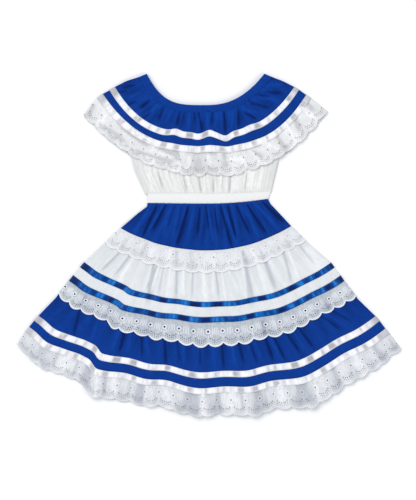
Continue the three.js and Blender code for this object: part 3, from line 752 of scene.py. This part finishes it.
def make_reflection_group():
    """Painted reflections along a satin ribbon: bright and dark lengths, fading towards its edges, with
    painted glints.
    """
    group, source, sink = new_group(
        "satin painted reflections", {"Lengths": 40.0, "Even": 0.5, "Width": 0.011}, ("Bright", "Dark", "Glint"))
    axes = new_node(group, "ShaderNodeSeparateXYZ", {"Vector": source.outputs["Cloth"]})
    across = new_node(group, "ShaderNodeVectorMath", {
        0: source.outputs["Cloth"], 1: (1.0, 0.22, 1.0)}, operation="MULTIPLY").outputs[0]
    scaled = new_node(group, "ShaderNodeVectorMath", {
        0: across, "Scale": source.outputs["Lengths"]}, operation="SCALE").outputs[0]
    broad = new_node(group, "ShaderNodeTexNoise", {"Vector": scaled, "Scale": 1.0, "Detail": 0.0},
                     noise_dimensions="2D").outputs[0]
    small = new_node(group, "ShaderNodeTexNoise", {"Vector": scaled, "Scale": 2.9, "Detail": 1.0},
                     noise_dimensions="2D").outputs[0]
    tone = calc(group, "ADD", times(group, broad, 0.8), times(group, small, 0.2))
    over = calc(group, "SUBTRACT", tone, source.outputs["Even"])
    down = calc(group, "DIVIDE", axes.outputs["Y"], source.outputs["Width"])
    middle = calc(group, "SINE", times(group, down, math.pi))
    core = times(group, calc(group, "SUBTRACT", middle, 0.2), 1.7, clamp=True)
    bright = times(group, over, 6.5, clamp=True)
    dark = times(group, times(group, over, -8.0, clamp=True),
                calc(group, "ADD", times(group, core, 0.6), 0.4))
    glint = times(group, times(group, bright, core),
                 times(group, calc(group, "SUBTRACT", small, 0.5), 7.0, clamp=True))
    for title, value in (("Bright", bright), ("Dark", dark), ("Glint", glint)):
        group.links.new(value, sink.inputs[title])
    return group


SATIN_REFLECTIONS = make_reflection_group()


def satin(name, colour, bright, dark, glint, lengths, even):
    """Satin ribbon: smooth, shiny across its length, with painted reflections: lighter and darker from
    length to length, with painted glints, and painted shade near the side folds.
    """
    material = bpy.data.materials.new(name)
    material.use_nodes = True
    tree = material.node_tree
    shader = tree.nodes["Principled BSDF"]
    cloth = new_node(tree, "ShaderNodeUVMap", uv_map="UVMap").outputs[0]
    bands = new_node(tree, "ShaderNodeGroup", {"Cloth": cloth, "Lengths": lengths, "Even": even},
                     node_tree=SATIN_REFLECTIONS)
    # Painted highlights, glints and darker lengths, then painted shade where the ribbon turns at the side
    # folds.
    lit = mixed(tree, bands.outputs["Glint"], mixed(tree, bands.outputs["Bright"], colour, bright), glint)
    side = new_node(tree, "ShaderNodeAttribute", attribute_name="painted_shade").outputs["Fac"]
    turned = mixed(tree, bands.outputs["Dark"], lit, dark)
    tree.links.new(mixed(tree, side, turned, dark), shader.inputs["Base Color"])
    weave = new_node(tree, "ShaderNodeGroup", {"Cloth": cloth, "Threads": 3600.0}, node_tree=WEAVE)
    rough = calc(tree, "ADD", times(tree, weave.outputs["Shade"], 0.12), 0.24)
    tree.links.new(rough, shader.inputs["Roughness"])
    tree.links.new(bumped(tree, weave.outputs["Height"], 0.00008, 0.4), shader.inputs["Normal"])
    shader.inputs["Anisotropic"].default_value = 0.5
    shader.inputs["Specular IOR Level"].default_value = 0.1
    return material


def ribbon_relief(relief, phase):
    """A ribbon's relief: short flat lengths over the cloth's gathers."""
    def faceted(place, across, x, y):
        knots = np.linspace(-1, 1, FACETS + 1)
        spread = 0.35 / FACETS
        knots[1:-1] += spread * np.sin(12.9 * np.arange(1, FACETS) + 5 * phase)
        numbers = np.arange(FACETS + 1)
        heights = 0.5 + 0.5 * np.sin(2.4 * numbers + 1.7 * np.sin(numbers + phase))
        cloth = np.clip(relief(place, across, x, y), -DEEPEST_DIP, 0.9)
        return cloth * 0.8 + 0.6 * np.interp(across, knots, heights)

    return faceted


def side_shade(place, turn, points):
    """A ribbon turns away from the light near the side folds."""
    return 0.85 * np.clip((np.abs(across_of(turn)) - 0.93) / 0.05, 0, 1)


# Each satin: its colour, then the colours of its painted highlight, painted dark lengths and painted
# glint.
WHITE_SATIN = satin(
    "white satin", (0.78, 0.78, 0.82, 1), (0.88, 0.88, 0.91, 1), (0.42, 0.415, 0.44, 1),
    (0.95, 0.95, 0.96, 1), 64.0, 0.48)
SEAM_SATIN = satin(
    "white satin on a seam", (0.76, 0.76, 0.79, 1), (0.87, 0.87, 0.90, 1), (0.50, 0.50, 0.53, 1),
    (0.95, 0.95, 0.96, 1), 76.0, 0.475)
BLUE_SATIN = satin(
    "blue satin", (0.0004, 0.062, 0.29, 1), (0.002, 0.12, 0.45, 1), (0.0002, 0.015, 0.11, 1),
    (0.02, 0.22, 0.64, 1), 50.0, 0.5)
for node, form, top, foot, relief, phase, material, slot, flat, cloth in (
    # phase sets where a ribbon's flat lengths fall, and cloth is what it is sewn to
    ("flounce_ribbon_upper", FLOUNCE, "whiteUpperTop", "whiteUpperFoot", flounce_relief, 0.3,
     WHITE_SATIN, "white_satin", (0.85, 0.012), flounce),
    ("flounce_ribbon_lower", FLOUNCE, "seam", "whiteLowerFoot", flounce_relief, 1.9,
     SEAM_SATIN, "white_satin", (0.95, 0.013), flounce),
    ("blue_ribbon_upper", SKIRT, "blueUpperTop", "blueUpperFoot", tier_two_relief, 0.8,
     BLUE_SATIN, "blue_satin", (1.02, 0.0105), tier_two),
    ("blue_ribbon_lower", SKIRT, "blueLowerTop", "seamTwo", tier_two_relief, 2.7,
     BLUE_SATIN, "blue_satin", (1.10, 0.0112), tier_two),
    ("white_ribbon_upper", SKIRT, "whiteUpperTop", "whiteUpperFoot", tier_three_relief, 1.2,
     WHITE_SATIN, "white_satin", (1.4, 0.012), tier_three),
    ("white_ribbon_lower", SKIRT, "seamThree", "whiteLowerFoot", tier_three_relief, 3.4,
     SEAM_SATIN, "white_satin", (1.49, 0.012), tier_three),
):
    piece = ring_cloth(
        f"{node}_satin", form, (top, foot), ribbon_relief(relief, phase), (420, 4, 130), 4, material,
        rise=RIBBON_RISE, shell=RIBBON_SHELL, painted_shades=side_shade)
    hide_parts(node)

# ---------------------------------------------------------------- eyelet lace
# White cotton eyelet lace with a scalloped edge: machine satin stitch round each large eyelet and
# along the scallops, leaf stitches between, and two arcs of pin holes in every scallop. The same
# lace trims the flounce, the seams under the first two tiers, and the hem.
REPEAT = 27.5
CRISP_CUT = (7.2, 2.0)
LOOSE_CUT = (4.6, 1.7)
WORN_CUT = (4.6, 1.2)
EYELET_RISE = 30.0
EYELET_RINGS = (3.2, 4.4)
STITCH_HEIGHT = 0.5
CORD_WIDTH = 3.4
FOLD_ROUND = 5.0
SORT_LINE = (1.0, 101.7, 10007.3)
LACE_ROWS = 5.5
LACE_SHELL = 0.00045
PIN_ARCS = (
    # places from the scallop's middle, height there, bend, radius
    ((1.9, 5.5, 9.0), 8.6, 0.045, 0.8),
    ((2.3, 6.0, 9.2), 12.6, 0.05, 1.05),
)
LEAVES = (
    # centre x, y, half width, half length, turn (degrees)
    (-12.3, 30.2, 1, 8.6, -1), (12.3, 30.2, 1, 8.6, 1), (-8.8, 29.4, 1, 8.8, 5),
    (8.8, 29.4, 1, 8.8, -5), (-4.6, 22.2, 0.9, 3.2, 25), (4.6, 22.2, 0.9, 3.2, -25), (0, 20, 1, 4, 0),
)


def scallop_edge(x, scallop):
    """How far the lace's edge is above its lowest line, a repeat being centred on a cusp."""
    return scallop * (1 - np.abs(np.sin(math.pi * (x / REPEAT))) ** 0.75)


def lace_repeat(depth, scallop, hole, bends=()):
    """One repeat of the lace, flat: cut out round its holes and leaves, with raised stitches. hole
    is the radius of the large eyelet, and bends are extra lines where a side fold bends it. Its
    parts are put in order along SORT_LINE, so that each run gives the same lace."""
    mesh = bmesh.new()

    def extruded(edges):
        parts = bmesh.ops.extrude_edge_only(mesh, edges=edges)["geom"]
        points = [part for part in parts if isinstance(part, bmesh.types.BMVert)]
        lines = [part for part in parts if isinstance(part, bmesh.types.BMEdge)]
        return points, [line for line in lines if all(end in points for end in line.verts)]

    def loop_at(x, y, radius, segments, half_length=None, angle=0.0, height=0.0):
        ring = bmesh.ops.create_circle(mesh, cap_ends=False, segments=segments, radius=radius)["verts"]
        if half_length:
            bmesh.ops.scale(mesh, verts=ring, vec=(1, half_length / radius, 1))
            turn = math.radians(angle)
            for vert in ring:
                vx, vy = vert.co.x, vert.co.y
                vert.co.x = vx * math.cos(turn) - vy * math.sin(turn)
                vert.co.y = vx * math.sin(turn) + vy * math.cos(turn)
        bmesh.ops.translate(mesh, verts=ring, vec=(x, y, height))
        return list(dict.fromkeys(edge for vert in ring for edge in vert.link_edges))

    xs = np.linspace(-REPEAT / 2, REPEAT / 2, 17)
    outline = [mesh.verts.new((x, scallop_edge(x, scallop), 0.2)) for x in xs]
    cord = [mesh.edges.new(pair) for pair in zip(outline, outline[1:])]
    for height in (STITCH_HEIGHT, 0.0):
        inner, cord = extruded(cord)
        for vert in inner:
            vert.co.y += CORD_WIDTH / 2
            vert.co.z = height
    inner.sort(key=lambda vert: vert.co.x)
    top = [mesh.verts.new((x, depth, 0)) for x in (-REPEAT / 2, REPEAT / 2)]
    corners = (inner[0], *top, inner[-1])
    rim = cord + [mesh.edges.new(pair) for pair in zip(corners, corners[1:])]

    edges = loop_at(0, EYELET_RISE, hole, 14, height=STITCH_HEIGHT * 0.6)
    for radius, height in zip(EYELET_RINGS, (STITCH_HEIGHT * 1.3, 0.0)):
        ring, edges = extruded(edges)
        for vert in ring:
            length = math.hypot(vert.co.x, vert.co.y - EYELET_RISE)
            vert.co.x *= radius / length
            vert.co.y = EYELET_RISE + (vert.co.y - EYELET_RISE) * radius / length
            vert.co.z = height
    rim += edges
    for steps, rise, bend, radius in PIN_ARCS:
        for step in steps:
            for x in (REPEAT / 2 - step, step - REPEAT / 2):
                rim += loop_at(x, rise + bend * step**2, radius, 6)
    bands = set(mesh.faces)
    strokes = set()
    for x, y, half_width, half_length, angle in LEAVES:
        edges = loop_at(x, y, half_width, 8, half_length, angle)
        rim += edges
        middle = mesh.verts.new((x, y, STITCH_HEIGHT))
        strokes.update(mesh.faces.new((*edge.verts, middle)) for edge in edges)
    bmesh.ops.triangle_fill(mesh, edges=rim, use_beauty=True)
    for face in mesh.faces:
        face.material_index = 1 if face in bands else 2 if face in strokes else 0
    upright = [((x, 0, 0), (1, 0, 0)) for x in (*np.linspace(-REPEAT / 2, REPEAT / 2, 9)[1:-1], *bends)]
    level = [((0, y, 0), (0, 1, 0)) for y in np.arange(depth - LACE_ROWS, 9, -LACE_ROWS)]
    for point, direction in upright + level:
        every = mesh.verts[:] + mesh.edges[:] + mesh.faces[:]
        bmesh.ops.bisect_plane(mesh, geom=every, dist=0.05, plane_co=point, plane_no=direction)
    along = mathutils.Vector(SORT_LINE)
    mesh.verts.sort(key=lambda vert: vert.co.dot(along))
    mesh.edges.sort(key=lambda edge: (edge.verts[0].co + edge.verts[1].co).dot(along))
    mesh.faces.sort(key=lambda face: face.calc_center_median().dot(along))
    pattern = bpy.data.meshes.new("lace repeat")
    mesh.to_mesh(pattern)
    mesh.free()
    return pattern


# As above, each cotton's second colour is its painted shade colour.
STITCH_THREAD = cotton(
    "white satin stitch", (0.86, 0.865, 0.89, 1), (0.68, 0.69, 0.74, 1), (0.9, 0.9, 0.91, 1),
    rumple=300.0, threads=1600.0, crumple=0.0001)
STROKE_THREAD = cotton(
    "pale stitch over blue", (0.80, 0.82, 0.85, 1), (0.52, 0.55, 0.62, 1), (0.86, 0.87, 0.89, 1),
    rumple=300.0, threads=1600.0, crumple=0.0001)
LACE_GROUND = cotton(
    "white lace cotton", (0.83, 0.84, 0.845, 1), (0.52, 0.54, 0.58, 1), (0.92, 0.925, 0.93, 1),
    rumple=80.0, crumple=0.0008, mottle=0.42)
LOOSE_LACE = cotton(
    "thin white lace cotton", (0.86, 0.87, 0.89, 1), (0.46, 0.48, 0.53, 1), (0.88, 0.885, 0.90, 1),
    rumple=80.0, crumple=0.0011, mottle=0.5)
LOOSE_STITCH = cotton(
    "white stitch on thin lace", (0.87, 0.875, 0.89, 1), (0.55, 0.57, 0.62, 1), (0.94, 0.94, 0.945, 1),
    rumple=200.0, threads=1600.0, crumple=0.0002, mottle=0.2)
FRILL_LACE = cotton(
    "crumpled white lace cotton", (0.95, 0.95, 0.945, 1), (0.56, 0.565, 0.58, 1), (0.97, 0.97, 0.965, 1),
    rumple=70.0, crumple=0.0014, mottle=0.42)
LACE_OVER_BLUE = cotton(
    "sheer lace cotton over blue", (0.62, 0.655, 0.69, 1), (0.28, 0.32, 0.40, 1), (0.74, 0.76, 0.78, 1),
    rumple=90.0, crumple=0.0007, mottle=0.5)


def lace(node, form, top, foot, scallops, surface, relief, cloths, cut,
         tuck=0.0, short=0.0, uneven=0.0):
    """The lace as a ring under a row: scallops repeats in front and as many at the back. cut is its
    scallop's depth and its eyelet's radius. tuck and short take it up by that much at the back and
    all round, and uneven lets its edge wander."""
    rows = form["rows"]
    first, last = place_of(rows, top), place_of(rows, foot)
    places = np.arange(first, last + 1)
    downs = np.array([ring_depth(form, first, place) / MM for place in places])
    depth = downs[-1] - short
    pattern = lace_repeat(depth, *cut)
    folded = lace_repeat(depth, *cut, np.linspace(-FOLD_ROUND, 0, 8))
    mesh = bmesh.new()
    for k in range(2 * scallops):
        start = len(mesh.verts)
        mesh.from_mesh(pattern if k % scallops else folded)
        mesh.verts.ensure_lookup_table()
        bmesh.ops.translate(mesh, verts=mesh.verts[start:], vec=(k * REPEAT, 0, 0))
    share = FOLD_ROUND / (scallops * REPEAT)
    knots = [0, scallops - share * scallops, scallops, 2 * scallops - share * scallops, 2 * scallops]

    def flat_to_place(x, y):
        repeats = x / REPEAT
        turn = np.interp(repeats, knots, [0, 1, 2, 3, 4])
        turn = np.where(repeats < 0, 4 + repeats / (share * scallops), turn)
        turn = np.where(turn < 3, np.where(repeats < 0, 3 + (turn - 3) / 250, turn), turn)
        behind = np.interp(turn, [1, 2, 3, 4], [0, 1, 1, 0])
        round_ring = math.pi * x / (scallops * REPEAT)
        wander = uneven * (np.sin(13 * round_ring) + np.sin(31 * round_ring + 2))
        down = (depth - y) * (1 - (tuck * behind + wander) / depth)
        place = np.interp(down, downs, places)
        return place, turn, x * MM, y * MM

    # The lace's painted shade comes from its relief.
    lay_out(mesh, flat_to_place, surface, None, painted_shade_of(relief, rows))
    piece = finish_piece(f"{node}_eyelet", mesh, cloths, LACE_SHELL)
    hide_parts(node)
    return piece


def hung_lace(form, top, count, phase, height, creases, under, clearance):
    """Lace that hangs free over cloth: it clears the gathers under it and has soft flutes. Its relief only
    sets the lace's painted shade.
    """
    first = place_of(form["rows"], top)

    def relief(place, across, x, y):
        flute = height * np.clip(place - first, 0, 1) * gather_wave(across, count, phase)
        return row_at(form["rows"], place)[9] + flute - height + crease_height(creases, x, y)

    def surface(place, turn):
        def bare(p, t):
            return ring_point(form, p, t, flat_relief)

        in_front = (turn > 0) & (turn < 1)
        across = np.where(in_front, 2 * turn - 1, 1.0)
        point = bare(place, turn)
        over = clearance + 0.9 * row_at(form["rows"], place)[9] * (1 - across**10)
        flute = height * (place - first) * gather_wave(across, count, phase)
        soft = np.where(in_front, crease_height(creases, point[0], point[1]), 0)
        cloth = under(place, across, point[0], point[1]) * (1 - across**10)
        clear = np.where(in_front, cloth + clearance - 0.1, 0.6)
        higher = np.logaddexp((over + flute + soft) / 0.4, clear / 0.4) * 0.4
        return point + normal_of(bare, place, turn) * higher

    return surface, relief


LACE_ONE_CREASES = (
    (146, 242, 141, 260, -1.6, 7, 0.3), (153, 246, 151, 262, 1.4, 5, 0),
    (171, 248, 166, 268, 1.8, 4.5, 0.4), (177, 250, 176, 268, -1.7, 5, 0),
    (192, 250, 192, 268, -1.2, 6, 0), (214, 252, 214, 268, 1, 8, 0),
    (242, 250, 247, 268, -2.2, 4.5, 0.3), (251, 247, 258, 266, 1.5, 4.5, 0),
    (258, 246, 265, 262, -1.4, 3.5, 0), (128, 238, 119, 252, -1.2, 4.5, 0),
    (284, 238, 294, 252, -1.2, 4.5, 0),
)
LACE_TWO_CREASES = (
    # These three broad low swells mostly lighten the painted shade towards the sides.
    (74, 288, 66, 302, 1.4, 17, 0), (302, 304, 308, 322, 1, 15, 0), (336, 288, 346, 302, 1.7, 17, 0),
    (87, 294, 80, 308, -1.3, 4.5, 0), (110, 306, 104, 324, -1.2, 5, 0),
    (127, 313, 123, 331, 1.2, 4.5, 0), (150, 320, 148, 339, -1.3, 4.5, 0),
    (167, 321, 166, 341, 1, 4.5, 0), (192, 323, 192, 343, -1, 4.5, 0), (212, 323, 212, 345, 1, 5, 0),
    (262, 320, 266, 338, -1.9, 6, 0.2), (272, 316, 277, 334, 1.2, 4, 0), (296, 310, 302, 326, -1, 5, 0),
    (322, 298, 330, 310, -1.3, 4.5, 0),
)
HEM_CREASES = (
    # The first entry below is a broad shallow trough, which mostly darkens the painted shade there.
    (200, 386, 200, 416, -1.5, 32, 0), (44, 346, 38, 362, -1.5, 13, 0), (60, 350, 52, 367, -1.2, 4, 0),
    (71, 352, 63, 374, 1.7, 13, 0), (79, 358, 72, 378, -1.2, 3.5, 0.3), (90, 362, 84, 390, -2.8, 9, 0),
    (97.6, 371, 95, 398, 3.2, 4.4, 0.5), (106, 372, 104, 396, -1.4, 4, 0),
    (116, 374, 114, 398, 1.2, 9, 0), (131, 380, 128, 400, -1.2, 4, 0),
    (141, 382, 139, 404, -1.8, 13, 0), (147, 384, 145, 404, 1.6, 4, 0),
    (156, 386, 154, 406, -1, 4.5, 0), (165, 386, 164, 408, 0.8, 11, 0),
    (189, 386, 189, 414, -2.8, 10, 0), (190, 386, 191, 414, -1.6, 3, -0.3),
    (202, 390, 203, 416, 2.6, 8, 0), (217, 392, 218, 416, -2.6, 6, 0.3),
    (232, 390, 235, 414, 2.4, 11, 0), (241, 390, 243, 412, -1.4, 3.5, 0),
    (257, 386, 261, 412, -2, 13, 0), (264, 386, 268, 410, -1, 4, 0), (279, 382, 283, 408, 2.2, 8, 0),
    (300, 378, 306, 404, -3, 13, 0), (296, 380, 301, 404, -1.2, 4, 0),
    (316, 378, 322, 402, 3.2, 5, -0.5), (330, 364, 342, 388, -1.3, 7, 0),
    (352, 354, 364, 374, 1.2, 9, 0), (372, 344, 384, 362, -1.4, 8, 0), (388, 338, 396, 350, -1, 4, 0),
)
FLOUNCE_LACE_CREASES = (
    # The first entry below is a broad shallow trough, which mostly darkens the painted shade there.
    (198, 148, 198, 178, -1.5, 24, 0), (94, 104, 88, 118, -2, 4.8, 0),
    (106, 106, 128, 132, -3.2, 4.2, 0.5), (108, 116, 98, 126, 2, 6, 0),
    (112, 110, 140, 136, 2.2, 3.6, 0), (120, 128, 150, 148, -3, 4, 0.4),
    (100, 124, 128, 146, -2.2, 4.2, 0.5), (124, 126, 162, 150, 2.4, 3.6, 0.3),
    (142, 142, 178, 157, -3.2, 3.6, 0.5), (132, 150, 176, 164, -2.4, 3.4, 0),
    (150, 138, 176, 147, -2.4, 3.2, 0), (152, 150, 178, 160, 2.2, 3.2, 0),
    (177, 146, 178, 162, -3.8, 7, -0.4), (186, 148, 218, 154, -2.6, 4.2, 0),
    (190, 156, 188, 172, 1.9, 4.8, 0), (199, 158, 198, 172, -1.6, 4.8, 0),
    (208, 152, 210, 166, 1.5, 4, 0), (224, 152, 226, 170, -2.2, 6, 0), (222, 160, 246, 160, 1.8, 4, 0),
    (236, 150, 262, 146, -2.2, 3.6, 0.3), (240, 156, 246, 168, 1.8, 4, 0),
    (252, 150, 264, 160, -2.4, 4, 0.3), (254, 140, 276, 132, -2, 3.6, 0),
    (262, 142, 280, 150, 2.2, 4.2, 0), (274, 134, 286, 152, -3, 4, 0.4),
    (284, 122, 298, 142, 2.2, 4.2, 0), (290, 110, 300, 132, -2.6, 4.6, 0.3),
    (300, 106, 316, 120, 2, 4.6, 0), (303, 98, 314, 112, -2.2, 4.6, 0),
)
one_surface, one_relief = hung_lace(
    SKIRT, "seamOne", 7, 0.2, 0.5, LACE_ONE_CREASES, tier_two_relief, 0.6)
two_surface, two_relief = hung_lace(
    SKIRT, "seamTwo", 10, 1.9, 0.6, LACE_TWO_CREASES, tier_three_relief, 0.9)
hem_relief = relief_of(SKIRT_ROWS, "seamThree", (21, 0.7), HEM_CREASES, 0.5)
frill_relief = relief_of(FLOUNCE_ROWS, "seam", (9, 1.1), FLOUNCE_LACE_CREASES, 0.3)
lace(
    "lace_1", SKIRT, "seamOne", "laceOneEdge", 15, one_surface, one_relief,
    [LACE_GROUND, STITCH_THREAD, STITCH_THREAD], LOOSE_CUT)
lace(
    "lace_2", SKIRT, "seamTwo", "laceTwoEdge", 22, two_surface, two_relief,
    [LACE_OVER_BLUE, STITCH_THREAD, STROKE_THREAD], CRISP_CUT,
    short=5.0)
lace(
    "hem_lace", SKIRT, "seamThree", "hem", 29,
    lambda place, turn: ring_point(SKIRT, place, turn, hem_relief), hem_relief,
    [LOOSE_LACE, LOOSE_STITCH, LOOSE_STITCH], WORN_CUT, tuck=7.0, short=2.5,
    uneven=1.2)
lace(
    "flounce_lace", FLOUNCE, "seam", "laceEdge", 20,
    lambda place, turn: ring_point(FLOUNCE, place, turn, frill_relief), frill_relief,
    [FRILL_LACE, FRILL_LACE, LOOSE_STITCH], WORN_CUT,
    uneven=1.0)
